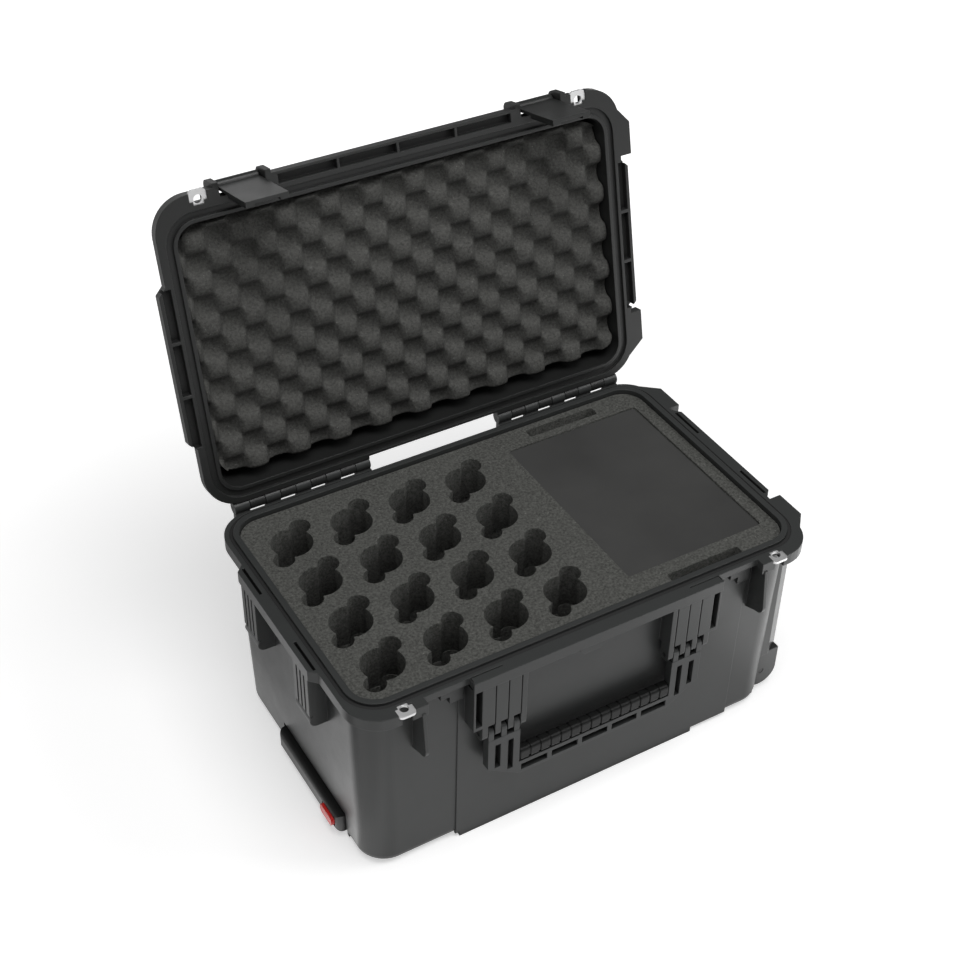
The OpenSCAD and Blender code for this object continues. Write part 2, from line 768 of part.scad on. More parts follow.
module lid_foam() color([0.33, 0.33, 0.32]) opened() {
    row = foam_nx + 1;
    cells = [for (j = [0 : foam_ny - 1], i = [0 : foam_nx - 1]) [i, j, j * row + i]];
    front = [for (c = cells, k = [0, 1])
        let (a = c[2], up = foam_peak(c[0], c[1]))
        k == 0 ? (up ? [a, a + row, a + 1] : [a, a + row + 1, a + 1])
            : (up ? [a + 1, a + row, a + row + 1] : [a, a + row, a + row + 1])];
    edge = concat(
        [for (i = [0 : foam_nx - 1]) i],
        [for (j = [0 : foam_ny - 1]) foam_nx + j * row],
        [for (i = [0 : foam_nx - 1]) foam_ny * row + foam_nx - i],
        [for (j = [0 : foam_ny - 1]) (foam_ny - j) * row]);
    m = len(edge);
    sides = [for (k = [0 : m - 1], h = [0, 1])
        let (a = edge[k], b = edge[(k + 1) % m])
        h == 0 ? [a, b, foam_n + b] : [a, foam_n + b, foam_n + a]];
    // The back is a fan about its middle
    middle = foam_n + (foam_ny / 2) * row + foam_nx / 2;
    back = [for (k = [0 : m - 1]) [foam_n + edge[k], foam_n + edge[(k + 1) % m], middle]];
    polyhedron(
        points = [for (b = [false, true], j = [0 : foam_ny], i = [0 : foam_nx])
            foam_pt(i, j, b)],
        faces = concat(front, sides, back));
}

// A latch: a wide plate with a barrel at the top and a cheek down each side. It hangs
// upright while it is off the rim, and leans in below the rim when it is latched.
module latch(s) color([0.2, 0.2, 0.2]) opened() {
    x = s * latch_x;
    low = latch_pin_z - latch_len;
    difference() {
        union() {
            block(x - latch_w / 2, x + latch_w / 2, latch_y0, latch_y1, low, latch_pin_z);
            x_rod(x - latch_w / 2, x + latch_w / 2, latch_pin_y, latch_pin_z, latch_barrel);
            for (t = [-1, 1])
                block(x + t * (latch_w / 2 - 5) - 5, x + t * (latch_w / 2 - 5) + 5,
                    latch_y1 - 1, latch_y1 + 3, low, hook_z);
        }
        x_rod(x - latch_w, x + latch_w, latch_pin_y, latch_pin_z, latch_pin_r + run_fit);
    }
}

module latch_hook(s) color([0.35, 0.35, 0.35]) opened() {
    x = s * latch_x;
    half = latch_w / 2 - 10;
    intersection() {
        unlatched() block(x - half, x + half, latch_y0, latch_face + hook_reach,
            hook_z - hook_h, hook_z);
        block(x - half, x + half, latch_y1, latch_face + 10, hook_z - 20, hook_z + 20);
    }
}

module latch_pin(s) color([0.6, 0.6, 0.6]) opened() {
    half = latch_zone + ear_w;
    x_rod(s * latch_x - half, s * latch_x + half, latch_pin_y, latch_pin_z, latch_pin_r);
}

// ---- Front handle ----

module handle_frame() color([0.25, 0.27, 0.27]) {
    y0 = handle_y - finger_r;
    cut = 42;
    difference() {
        union() {
            translate([0, y0 + handle_t, 0]) rotate([90, 0, 0]) linear_extrude(handle_t)
                difference() {
                    polygon([
                        [-frame_x, handle_z - 11], [-frame_x, frame_low + 28],
                        [-frame_x + cut, frame_low], [frame_x - cut, frame_low],
                        [frame_x, frame_low + 28], [frame_x, handle_z - 11]
                    ]);
                    translate([-frame_in, rail_top])
                        square([2 * frame_in, handle_z - rail_top]);
                }
            // Bar inside the rubber grip
            block(-frame_in - 1, frame_in + 1, y0 + 4, y0 + 8, rail_top - 1,
                rail_top + grip_h - 6);
            both_sides() for (i = [0 : 2]) {
                x = bracket_in + (i + 0.5) * finger_pitch;
                x_rod(x, x + finger_w, handle_y, handle_z, finger_r - 0.2);
                block(x, x + finger_w, y0 + 0.2, y0 + handle_t, handle_z - 12, handle_z);
            }
        }
        both_sides() {
            for (i = [0, 1])
                block(frame_in + 8.3 + i * 16.5, frame_in + 15.3 + i * 16.7, y0 - 1,
                    y0 + 9, frame_low + 15 + i * 11, handle_z - 21);
            x_rod(bracket_in, frame_x + 1, handle_y, handle_z, handle_pin_r + run_fit);
        }
        for (i = [-2 : 2])
            block((i - 0.5) * rail_pitch + 3, (i + 0.5) * rail_pitch - 3, y0 - 1, y0 + 7,
                frame_low + 4.5, rail_top - 5.5);
    }
}

module handle_grip() color([0.12, 0.12, 0.12]) {
    y0 = handle_y - finger_r;
    half = frame_in - 0.5;
    pitch = 2 * half / grip_ribs;
    rib = pitch - 3;
    difference() {
        union() {
            translate([-half, y0 + 6, rail_top + grip_h / 2]) rotate([90, 0, 90])
                linear_extrude(2 * half) round_rect(11, grip_h - 2, 4.5);
            for (i = [0 : grip_ribs - 1])
                translate([(i - (grip_ribs - 1) / 2) * pitch - rib / 2, y0 + 6,
                    rail_top + grip_h / 2]) rotate([90, 0, 90]) linear_extrude(rib)
                        round_rect(13, grip_h - 0.4, 4.5);
        }
        block(-half - 1, half + 1, y0 + 4, y0 + 8, rail_top - 1, rail_top + grip_h - 6);
    }
}

module handle_pin(s) color([0.6, 0.6, 0.6]) {
    x0 = bracket_in + 0.5;
    x1 = bracket_in + 3 * finger_pitch + finger_w - 0.5;
    x_rod(min(s * x0, s * x1), max(s * x0, s * x1), handle_y, handle_z, handle_pin_r);
}

// ---- Foam ----

module stowage_hole(x, y) {
    translate([x, y, foam_z - hole_depth - 1]) linear_extrude(hole_depth + 2) {
        circle(hole_r);
        for (t = [0, 180])
            rotate(lobe_deg + t) translate([lobe_out, 0]) circle(lobe_r);
    }
}

// The upper layer holds the pieces, and the lower one fills the space over the wheels
module case_foam() color([0.28, 0.28, 0.27]) {
    z0 = foam_z - hole_depth;
    difference() {
        foam_block(z0, foam_z);
        for (i = [0 : 3], j = [0 : 3])
            stowage_hole(hole_last_x - i * hole_px, hole_y0 + j * hole_py);
        round_box(pad_x0, pad_x0 + pad_l, -pad_w / 2, pad_w / 2, foam_z - pad_t - 2,
            foam_z + 1, 3);
        round_box(slot_x0, slot_x0 + slot_l, 142, 142 + slot_w, foam_z - slot_depth,
            foam_z + 1, 3);
        round_box(slot_x0, slot_x0 + slot_l, -149.5 - slot_w, -149.5, foam_z - slot_depth,
            foam_z + 1, 3);
        // Small notch in the front edge
        block(-6, 16, -in_y, -in_y + 5.5, foam_z - 8, foam_z + 1);
    }
}

module foam_floor() color([0.24, 0.24, 0.23]) {
    difference() {
        foam_block(skid_h + floor_t + foam_gap, foam_z - hole_depth - 0.3);
        floor_humps(4 + foam_gap);
    }
}

// Foam that fits the interior between two heights
module foam_block(z0, z1) {
    a = (base_h - z0) / (base_h - skid_h - floor_t);
    b = (base_h - z1) / (base_h - skid_h - floor_t);
    tub(in_x - draft_x * a - foam_gap, in_y - draft_y * a - foam_gap, z0,
        in_x - draft_x * b - foam_gap, in_y - draft_y * b - foam_gap, z1,
        inside_r - foam_gap);
}

module accessory_pad() color([0.2, 0.2, 0.2]) {
    round_box(pad_x0 + 0.5, pad_x0 + pad_l - 0.5, -pad_w / 2 + 0.5, pad_w / 2 - 0.5,
        foam_z - pad_t - 2, foam_z - 2, 2.5);
}

// ---- Tow handle ----

module tow_grip() color([0.08, 0.08, 0.08]) {
    y0 = tow_y - tow_grip_l / 2;
    difference() {
        intersection() {
            translate([tow_x0 + tow_grip_d / 2, y0 + tow_grip_l, tube_z]) rotate([90, 0, 0])
                linear_extrude(tow_grip_l) round_rect(tow_grip_d, tow_grip_h, 7);
            round_box(tow_x0, tow_x1, y0, y0 + tow_grip_l, tube_z - tow_grip_h,
                tube_z + tow_grip_h, tow_grip_d / 2 - 0.1);
        }
        // Sockets for the sliding tubes
        for (t = [-1, 1])
            x_rod(tow_x1 - socket_l, tow_x1 + 1, tow_y + t * tube_gap / 2, tube_z,
                tube_r + run_fit / 2);
        // Pocket for the button
        block(tow_x0 - 1, tow_x0 + 9, button_y - button_l / 2 - 0.4,
            button_y + button_l / 2 + 0.4, tube_z - button_h / 2 - 0.4,
            tube_z + button_h / 2 + 0.4);
    }
}

module tow_button() color([0.8, 0.1, 0.1]) {
    x0 = tow_x0 - 3.5;
    translate([x0, button_y, tube_z]) rotate([90, 0, 90])
        linear_extrude(9 + 3.5 - button_travel - 0.5) round_rect(button_l, button_h, 5);
}

module slide_tube(t) color([0.75, 0.75, 0.75]) {
    y = tow_y + t * tube_gap / 2;
    difference() {
        x_rod(tow_x1 - socket_l + 1, tube_x1 - 12, y, tube_z, tube_r);
        x_rod(tow_x1 - socket_l, tube_x1, y, tube_z, tube_r - tube_t);
    }
}

module fixed_tube(t) color([0.5, 0.5, 0.5]) {
    y = tow_y + t * tube_gap / 2;
    difference() {
        x_rod(mouth_x, tube_x1, y, tube_z, fixed_r);
        x_rod(mouth_x - 1, tube_x1 + 1, y, tube_z, tube_r + 0.08);
    }
}

// A block that holds both fixed tubes, between x0 and x1
module tube_block(x0, x1) {
    difference() {
        block(x0, x1, tow_y - bay_half + 0.3, tow_y + bay_half - 0.3, cover_t + 0.3,
            bay_top - 0.3);
        for (t = [-1, 1])
            x_rod(x0 - 1, x1 + 1, tow_y + t * tube_gap / 2, tube_z, fixed_r + 0.05);
        block(x0 - 1, x1 + 1, tow_y - tube_gap / 2 + 2 * fixed_r,
            tow_y + tube_gap / 2 - 2 * fixed_r, cover_t + 8, bay_top - 8);
    }
}

mouth_block_x = mouth_x + 4;
mouth_block_l = 18;
end_block_l = 16;
end_block_x = tube_x1 + 4 - end_block_l;

module tow_mouth_block() color([0.1, 0.1, 0.1])
    tube_block(mouth_block_x, mouth_block_x + mouth_block_l);
module tow_end_block() color([0.1, 0.1, 0.1])
    tube_block(end_block_x, end_block_x + end_block_l);

screw_x = [mouth_block_x + mouth_block_l / 2, (mouth_x + tube_x1) / 2,
    end_block_x + end_block_l / 2];
screw_in = 10;

module tow_cover() color([0.15, 0.15, 0.15]) {
    difference() {
        block(mouth_x + 2, bay_x1 - 0.5, tow_y - bay_half + 0.5, tow_y + bay_half - 0.5,
            0, cover_t);
        for (x = screw_x, t = [-1, 1])
            translate([x, tow_y + t * (bay_half - screw_in), -1]) {
                cylinder(r = 2.2, h = cover_t + 2);
                cylinder(r = 4.2, h = 3.5);
            }
    }
}

module tow_cover_screws() color([0.6, 0.6, 0.6]) {
    for (x = screw_x, t = [-1, 1])
        translate([x, tow_y + t * (bay_half - screw_in), 0.5]) difference() {
            union() {
                cylinder(r = 4, h = 2);
                cylinder(r = 2, h = cover_t - 0.5);
            }
            translate([0, 0, -1]) cylinder(r = 1.6, h = 2, $fn = 6);
        }
}

// ---- Wheels: t is -1 for the front one and 1 for the rear one ----

module wheel_housing(t) color([0.29, 0.31, 0.31]) {
    y0 = t * wheel_y - well_half + 0.3;
    y1 = t * wheel_y + well_half - 0.3;
    inner = wheel_w / 2 + 1.2;
    difference() {
        union() {
            block(well_x0 + 0.3, axle_x - cheek_r, y0, y1, skid_h, well_top - 0.3);
            block(axle_x - cheek_r - 1, axle_x + cheek_r, y0, y1, wheel_z, well_top - 0.3);
            y_rod(axle_x, y0, y1, wheel_z, cheek_r);
        }
        y_rod(axle_x, t * wheel_y - inner, t * wheel_y + inner, wheel_z, wheel_r + 2);
        block(well_x0 + 6, axle_x + 40, t * wheel_y - inner, t * wheel_y + inner,
            -1, wheel_z);
        y_rod(axle_x, y0 - 1, y1 + 1, wheel_z, axle_r + run_fit / 3);
    }
}

module wheel_hub(t) color([0.3, 0.3, 0.3]) {
    half = wheel_w / 2;
    difference() {
        y_rod(axle_x, t * wheel_y - half, t * wheel_y + half, wheel_z, wheel_r - 10);
        for (u = [-1, 1])
            translate([0, t * wheel_y + u * half, 0]) difference() {
                y_rod(axle_x, -4, 4, wheel_z, wheel_r - 13);
                y_rod(axle_x, -5, 5, wheel_z, axle_r + 4);
            }
        y_rod(axle_x, t * wheel_y - half - 1, t * wheel_y + half + 1, wheel_z,
            axle_r + run_fit);
    }
}

module wheel_tyre(t) color([0.2, 0.2, 0.2]) {
    half = wheel_w / 2;
    translate([axle_x, t * wheel_y, wheel_z]) rotate([90, 0, 0]) rotate_extrude() {
        translate([wheel_r - 10, -half]) square([6, 2 * half]);
        translate([wheel_r - 4.5, -half + 4]) square([4.5, 2 * half - 8]);
        for (u = [-1, 1])
            translate([wheel_r - 4.5, u * (half - 4.5)]) circle(4.5);
    }
}

module wheel_axle(t) color([0.7, 0.7, 0.7]) {
    half = well_half - 0.6;
    y_rod(axle_x, t * wheel_y - half, t * wheel_y + half, wheel_z, axle_r);
}

module wheel_housing_screws() color([0.6, 0.6, 0.6]) {
    for (t = [-1, 1], u = [-1, 1])
        translate([well_x0 + 3, t * wheel_y + u * (wheel_w / 2 - 3), skid_h - 2])
            difference() {
                cylinder(r = 2.6, h = 2);
                translate([0, 0, -1]) cylinder(r = 1.3, h = 2, $fn = 6);
            }
}

// ---- The pieces ----

base_shell();
rim_gasket();
padlock_plate(-1, eye_base_z);  // padlock_plate_base_left
padlock_plate(1, eye_base_z);  // padlock_plate_base_right
hinge_pin(-1);  // hinge_pin_left
hinge_pin(1);  // hinge_pin_right
lid_shell();
lid_foam();
opened() padlock_plate(-1, eye_lid_z);  // padlock_plate_lid_left
opened() padlock_plate(1, eye_lid_z);  // padlock_plate_lid_right
latch(-1);  // latch_left
latch(1);  // latch_right
latch_hook(-1);  // latch_hook_left
latch_hook(1);  // latch_hook_right
latch_pin(-1);  // latch_pin_left
latch_pin(1);  // latch_pin_right
handle_frame();
handle_grip();
handle_pin(-1);  // handle_pin_left
handle_pin(1);  // handle_pin_right
case_foam();
foam_floor();
accessory_pad();
tow_grip();
tow_button();
slide_tube(-1);  // tow_slide_tube_front
slide_tube(1);  // tow_slide_tube_rear
fixed_tube(-1);  // tow_fixed_tube_front
fixed_tube(1);  // tow_fixed_tube_rear
tow_mouth_block();
tow_end_block();
tow_cover();
tow_cover_screws();
wheel_housing(-1);  // wheel_housing_front
wheel_housing(1);  // wheel_housing_rear
wheel_hub(-1);  // wheel_hub_front
wheel_hub(1);  // wheel_hub_rear
wheel_tyre(-1);  // wheel_tyre_front
wheel_tyre(1);  // wheel_tyre_rear
wheel_axle(-1);  // wheel_axle_front
wheel_axle(1);  // wheel_axle_rear
wheel_housing_screws();
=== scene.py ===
import json
import math

import bmesh
import bpy
from mathutils import Matrix, Vector, noise


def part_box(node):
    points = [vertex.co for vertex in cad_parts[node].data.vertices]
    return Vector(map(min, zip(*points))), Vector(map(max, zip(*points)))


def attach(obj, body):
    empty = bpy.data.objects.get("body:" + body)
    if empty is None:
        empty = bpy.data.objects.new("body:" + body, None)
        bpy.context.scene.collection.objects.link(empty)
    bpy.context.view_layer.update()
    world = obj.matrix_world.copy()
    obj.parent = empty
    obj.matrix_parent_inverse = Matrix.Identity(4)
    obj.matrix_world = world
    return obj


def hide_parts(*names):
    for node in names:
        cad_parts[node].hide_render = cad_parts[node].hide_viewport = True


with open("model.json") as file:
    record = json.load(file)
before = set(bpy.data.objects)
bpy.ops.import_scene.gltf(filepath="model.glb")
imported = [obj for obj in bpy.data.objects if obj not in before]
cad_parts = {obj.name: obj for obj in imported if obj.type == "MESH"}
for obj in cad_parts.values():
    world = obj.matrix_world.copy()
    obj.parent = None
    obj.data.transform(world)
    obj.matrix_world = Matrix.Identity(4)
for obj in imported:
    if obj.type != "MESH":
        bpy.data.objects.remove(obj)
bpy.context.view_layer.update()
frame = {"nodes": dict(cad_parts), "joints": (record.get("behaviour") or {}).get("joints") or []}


# ---------------------------------------------------------------- Studio
# The case stands on a white sweep under soft lamps. The camera looks down on the
# front left corner, with the open lid behind.

camera = bpy.data.objects.new("camera", bpy.data.cameras.new("camera"))
bpy.context.scene.collection.objects.link(camera)
camera.data.sensor_width = 36.0
camera.data.lens = 63.21
camera.data.clip_end = 50.0
camera_place = (-0.7971, -1.2456, 1.5498)
camera_right = Vector((0.86220, -0.50634, 0.01542))
camera_up = Vector((0.31007, 0.55159, 0.77434))
camera_back = Vector((-0.40059, -0.66285, 0.63258))
camera.matrix_world = (Matrix.Translation(camera_place)
                       @ Matrix((camera_right, camera_up, camera_back)).transposed().to_4x4())
bpy.context.scene.camera = camera

bpy.context.scene.view_settings.view_transform = "Standard"


def wired(material_name):
    """A material with an empty node tree but for its Principled shader and output."""
    material = bpy.data.materials.new(material_name)
    material.use_nodes = True
    tree = material.node_tree
    shader = next(n for n in tree.nodes if n.type == "BSDF_PRINCIPLED")
    return material, tree, shader


def feed(tree, socket, value):
    """Links a socket to an input, or sets the input to a number, colour or vector."""
    if isinstance(value, bpy.types.NodeSocket):
        tree.links.new(value, socket)
    else:
        socket.default_value = value


def add_node(tree, kind, **inputs):
    """A node of a kind, with the inputs named fed from sockets or set to values."""
    node = tree.nodes.new(kind)
    for name, value in inputs.items():
        feed(tree, node.inputs[name.replace("_", " ")], value)
    return node


def maths(tree, operation, *values, kind="ShaderNodeMath"):
    """What a Math or Vector Math node puts out, with its inputs fed in their order."""
    node = tree.nodes.new(kind)
    node.operation = operation
    for socket, value in zip(node.inputs, values):
        feed(tree, socket, value)
    return node.outputs


def number(tree, operation, *values):
    """The number that a Math node gives."""
    return maths(tree, operation, *values)[0]


def ramp_up(tree, value, start, end, low=0.0, high=1.0):
    """A number that goes straight from low to high as the value goes from start to end."""
    node = add_node(tree, "ShaderNodeMapRange", Value=value, From_Min=start, From_Max=end,
                    To_Min=low, To_Max=high)
    return node.outputs[0]


def ease(tree, value, start, end, low=0.0, high=1.0):
    """A number that eases from low to high as the value goes from start to end."""
    eased = ramp_up(tree, value, start, end, low, high)
    eased.node.interpolation_type = "SMOOTHSTEP"
    return eased


sweep_half = 6.0
floor_mesh = bpy.data.meshes.new("sweep")
floor_bm = bmesh.new()
bmesh.ops.create_grid(floor_bm, x_segments=24, y_segments=24, size=sweep_half)
floor_bm.to_mesh(floor_mesh)
floor_bm.free()
sweep = bpy.data.objects.new("sweep", floor_mesh)
bpy.context.scene.collection.objects.link(sweep)

# The sweep's colour is painted pale in front of the case and on the strip beside it,
# and dark elsewhere: a painted pool of light that only the case sees. Polished plastic
# mirrors that pattern, and the camera sees plain white with the case's shadow.
sweep_dark, sweep_pale = 0.07, 0.82
paper, tree, shader = wired("white_paper")
shader.inputs["Roughness"].default_value = 0.9
shader.inputs["Specular IOR Level"].default_value = 0.1
seen = tree.nodes.new("ShaderNodeLightPath").outputs
where = tree.nodes.new("ShaderNodeNewGeometry").outputs["Position"]
axes = add_node(tree, "ShaderNodeSeparateXYZ", Vector=where).outputs
strip = ease(tree, axes["X"], -0.332, -0.314)
ahead = ease(tree, axes["Y"], -0.02, -0.16)
painted_pool = number(tree, "MAXIMUM", strip, ahead)
tone = ramp_up(tree, painted_pool, 0.0, 1.0, sweep_dark, sweep_pale)
plain_tone = add_node(tree, "ShaderNodeMix", Factor=seen["Is Camera Ray"], A=tone,
                      B=sweep_pale).outputs[0]
grey = add_node(tree, "ShaderNodeCombineColor", Red=plain_tone, Green=plain_tone,
                Blue=plain_tone)
feed(tree, shader.inputs["Base Color"], grey.outputs[0])

# A painted glow fans out from the case's front left corner, seen only in reflections,
# and the corner's curve mirrors it as a painted highlight
beam_foot, beam_way = (-0.28, -0.13, 0), (-0.574, 0.819, 0)
from_foot = maths(tree, "SUBTRACT", where, beam_foot, kind="ShaderNodeVectorMath")["Vector"]
aimed = maths(tree, "NORMALIZE", from_foot, kind="ShaderNodeVectorMath")["Vector"]
along_beam = maths(tree, "DOT_PRODUCT", aimed, beam_way, kind="ShaderNodeVectorMath")["Value"]
painted_beam = ease(tree, along_beam, 0.91, 1.0, high=1.25)

# The strip close to the left wall and the floor beyond the right end glow as well,
# seen only in reflections: painted highlights on the left wall and the right corner
beside = ease(tree, axes["X"], -0.25, -0.29)
strip_left = number(tree, "MULTIPLY", strip, beside)
painted_edge_glow = number(tree, "MULTIPLY_ADD", strip_left, 0.30, painted_beam)
beyond = ease(tree, axes["X"], 0.27, 0.34, high=0.75)
painted_side_glow = number(tree, "ADD", painted_edge_glow, beyond)
painted_glow = number(tree, "MULTIPLY_ADD", painted_pool, 0.33, painted_side_glow)
painted_reflection = number(tree, "MULTIPLY", seen["Is Glossy Ray"], painted_glow)

# To the eye the sweep pales to white away from the case
away = maths(tree, "LENGTH", where, kind="ShaderNodeVectorMath")["Value"]
blank = ease(tree, away, 0.45, 1.5, 0.54, 0.95)
lift = number(tree, "MULTIPLY_ADD", seen["Is Camera Ray"], blank, painted_reflection)
shader.inputs["Emission Color"].default_value = (1, 1, 1, 1)
feed(tree, shader.inputs["Emission Strength"], lift)
sweep.data.materials.append(paper)

# The room is white to the eye and dim to the case. A pale flat is painted into the
# world low behind the case and shows only in polished faces: a painted reflection.
room_dim, painted_flat_pale = 0.12, 0.75
world = bpy.data.worlds.new("studio")
bpy.context.scene.world = world
world.use_nodes = True
tree = world.node_tree
tree.nodes.clear()
seen = tree.nodes.new("ShaderNodeLightPath").outputs
toward = tree.nodes.new("ShaderNodeTexCoord").outputs["Generated"]
heading = add_node(tree, "ShaderNodeSeparateXYZ", Vector=toward).outputs
low_down = ease(tree, heading["Z"], 0.42, 0.20)
slant = number(tree, "MULTIPLY_ADD", heading["X"], -2.2, heading["Y"])
behind = ease(tree, slant, -0.05, 0.25)
painted_flat = number(tree, "MULTIPLY", low_down, behind)
shown = number(tree, "MULTIPLY", painted_flat, seen["Is Glossy Ray"])
level = ramp_up(tree, shown, 0.0, 1.0, room_dim, painted_flat_pale)
lighting = add_node(tree, "ShaderNodeBackground", Color=(1, 1, 1, 1), Strength=level)
white = add_node(tree, "ShaderNodeBackground", Color=(1, 1, 1, 1), Strength=1.0)
choose = tree.nodes.new("ShaderNodeMixShader")
for socket, source in zip(choose.inputs, (seen["Is Camera Ray"], lighting.outputs[0],
                                          white.outputs[0])):
    feed(tree, socket, source)
out = tree.nodes.new("ShaderNodeOutputWorld")
feed(tree, out.inputs["Surface"], choose.outputs[0])

case_middle = Vector((0, 0, 0.25))
for lamp_name, place, size, watts in (
        ("overhead_left", (-0.18, -0.55, 2.5), 1.6, 34),
        ("key_right", (2.3, -1.3, 2.4), 1.4, 27)):
    lamp = bpy.data.objects.new(lamp_name, bpy.data.lights.new(lamp_name, "AREA"))
    bpy.context.scene.collection.objects.link(lamp)
    lamp.data.shape = "SQUARE"
    lamp.data.size = size
    lamp.data.energy = watts
    lamp.location = place
    aim = case_middle - Vector(place)
    lamp.rotation_euler = aim.to_track_quat("-Z", "Y").to_euler()


# ---------------------------------------------------------------- Shells
# The base and the lid are injection moulded in a glass-filled polypropylene. The
# mould's fine grain leaves a soft sheen, and handling has changed its gloss in patches.

nodes = frame["nodes"]


def effect(group_name, inputs, outputs):
    """An empty node group, with the kind and first value of each input by its name."""
    group = bpy.data.node_groups.new(group_name, "ShaderNodeTree")
    for socket_name, (kind, first) in inputs.items():
        socket = group.interface.new_socket(socket_name, in_out="INPUT",
                                            socket_type="NodeSocket" + kind)
        socket.default_value = first
    for socket_name, kind in outputs.items():
        group.interface.new_socket(socket_name, in_out="OUTPUT",
                                   socket_type="NodeSocket" + kind)
    given = group.nodes.new("NodeGroupInput")
    gives = group.nodes.new("NodeGroupOutput")
    return group, given.outputs, gives.inputs


def with_effect(tree, group, **inputs):
    """An effect placed in a material with its own values."""
    node = tree.nodes.new("ShaderNodeGroup")
    node.node_tree = group
    for socket_name, value in inputs.items():
        node.inputs[socket_name].default_value = value
    return node.outputs


def tint_by(tree, tint, strength):
    """A colour made lighter or darker by a number."""
    node = tree.nodes.new("ShaderNodeVectorMath")
    node.operation = "SCALE"
    feed(tree, node.inputs[0], tint)
    feed(tree, node.inputs["Scale"], strength)
    return node.outputs[0]


black = (0, 0, 0, 1)
grain_and_painted_shade, given, gives = effect(
    "moulded_grain_and_painted_shade",
    {"Scale": ("Float", 900.0), "Mottle": ("Float", 0.08), "Roughness": ("Float", 0.5),
     "Tint": ("Color", black)},
    {"Color": "Color", "Roughness": "Float", "Height": "Float"})
place = grain_and_painted_shade.nodes.new("ShaderNodeTexCoord").outputs["Object"]
fine = add_node(grain_and_painted_shade, "ShaderNodeTexNoise", Vector=place, Scale=given["Scale"], Detail=3.0,
                Roughness=0.6).outputs["Fac"]
broad = add_node(grain_and_painted_shade, "ShaderNodeTexNoise", Vector=place, Scale=7.0, Detail=4.0,
                 Roughness=0.65).outputs["Fac"]
rubbed = add_node(grain_and_painted_shade, "ShaderNodeTexNoise", Vector=place, Scale=38.0, Detail=5.0,
                  Roughness=0.7).outputs["Fac"]
spread = number(grain_and_painted_shade, "MULTIPLY_ADD", broad, given["Mottle"], 0.96)
speck = number(grain_and_painted_shade, "MULTIPLY_ADD", fine, given["Mottle"], spread)

# Narrow recesses get painted shade: ambient occlusion darkens their colour, and they
# are duller
deepest = 0.12
narrow = add_node(grain_and_painted_shade, "ShaderNodeAmbientOcclusion", Distance=0.022)
narrow.samples = 6
painted_recess_shade = ramp_up(grain_and_painted_shade, narrow.outputs["AO"], deepest, 0.70, deepest, 1.0)
shaded = number(grain_and_painted_shade, "MULTIPLY", speck, painted_recess_shade)
feed(grain_and_painted_shade, gives["Color"], tint_by(grain_and_painted_shade, given["Tint"], shaded))
worn = number(grain_and_painted_shade, "MULTIPLY_ADD", rubbed, 0.14, given["Roughness"])
feed(grain_and_painted_shade, gives["Roughness"], ramp_up(grain_and_painted_shade, painted_recess_shade, deepest, 1.0, 0.95, worn))
feed(grain_and_painted_shade, gives["Height"], fine)


def moulded(material_name, tint, roughness, scale=900.0, mottle=0.08, depth=0.00012,
            edge=0.0009, specular=0.5):
    """A moulded plastic: its grain, painted shade in its recesses, its edges' small radius and a
    broad soft sheen.
    """
    material, tree, shader = wired(material_name)
    surface = with_effect(tree, grain_and_painted_shade, Scale=scale, Mottle=mottle, Roughness=roughness,
                          Tint=(*tint, 1))
    shader.inputs["Specular IOR Level"].default_value = specular
    feed(tree, shader.inputs["Base Color"], surface["Color"])
    feed(tree, shader.inputs["Roughness"], surface["Roughness"])
    soft_edge = add_node(tree, "ShaderNodeBevel", Radius=edge)
    soft_edge.samples = 4
    bump = add_node(tree, "ShaderNodeBump", Strength=0.55, Distance=depth,
                    Height=surface["Height"], Normal=soft_edge.outputs[0])
    feed(tree, shader.inputs["Normal"], bump.outputs[0])
    return material


def dress(node_name, material):
    """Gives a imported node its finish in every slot."""
    slots = nodes[node_name].material_slots
    if not slots:
        nodes[node_name].data.materials.append(material)
    for slot in slots:
        slot.material = material


shell_plastic = moulded("charcoal_shell", (0.0360, 0.0380, 0.0375), 0.30, edge=0.0015)
# The lid is the same plastic, but its copy has half the base's tint: painted shade
lid_plastic_painted_darker = moulded("charcoal_lid_painted_darker", (0.018, 0.0187, 0.0183), 0.33, edge=0.0015)
dress("base_shell", shell_plastic)
dress("wheel_housing_front", shell_plastic)
dress("wheel_housing_rear", shell_plastic)
dress("lid_shell", lid_plastic_painted_darker)


# ---------------------------------------------------------------- Latches
# Each latch is a moulded plate on a steel pin between two ears of the lid, with a
# hook on its inner face that catches under the base's rim.

latch_plastic = moulded("latch_satin", (0.022, 0.023, 0.0225), 0.24, scale=1400.0)
for side in ("left", "right"):
    dress("latch_" + side, latch_plastic)
    dress("latch_hook_" + side, latch_plastic)


# ---------------------------------------------------------------- Steel
# The padlock plates are punched from stainless steel, brushed along their length. The
# hinge, latch and handle pins, the axles and the screws are blackened.

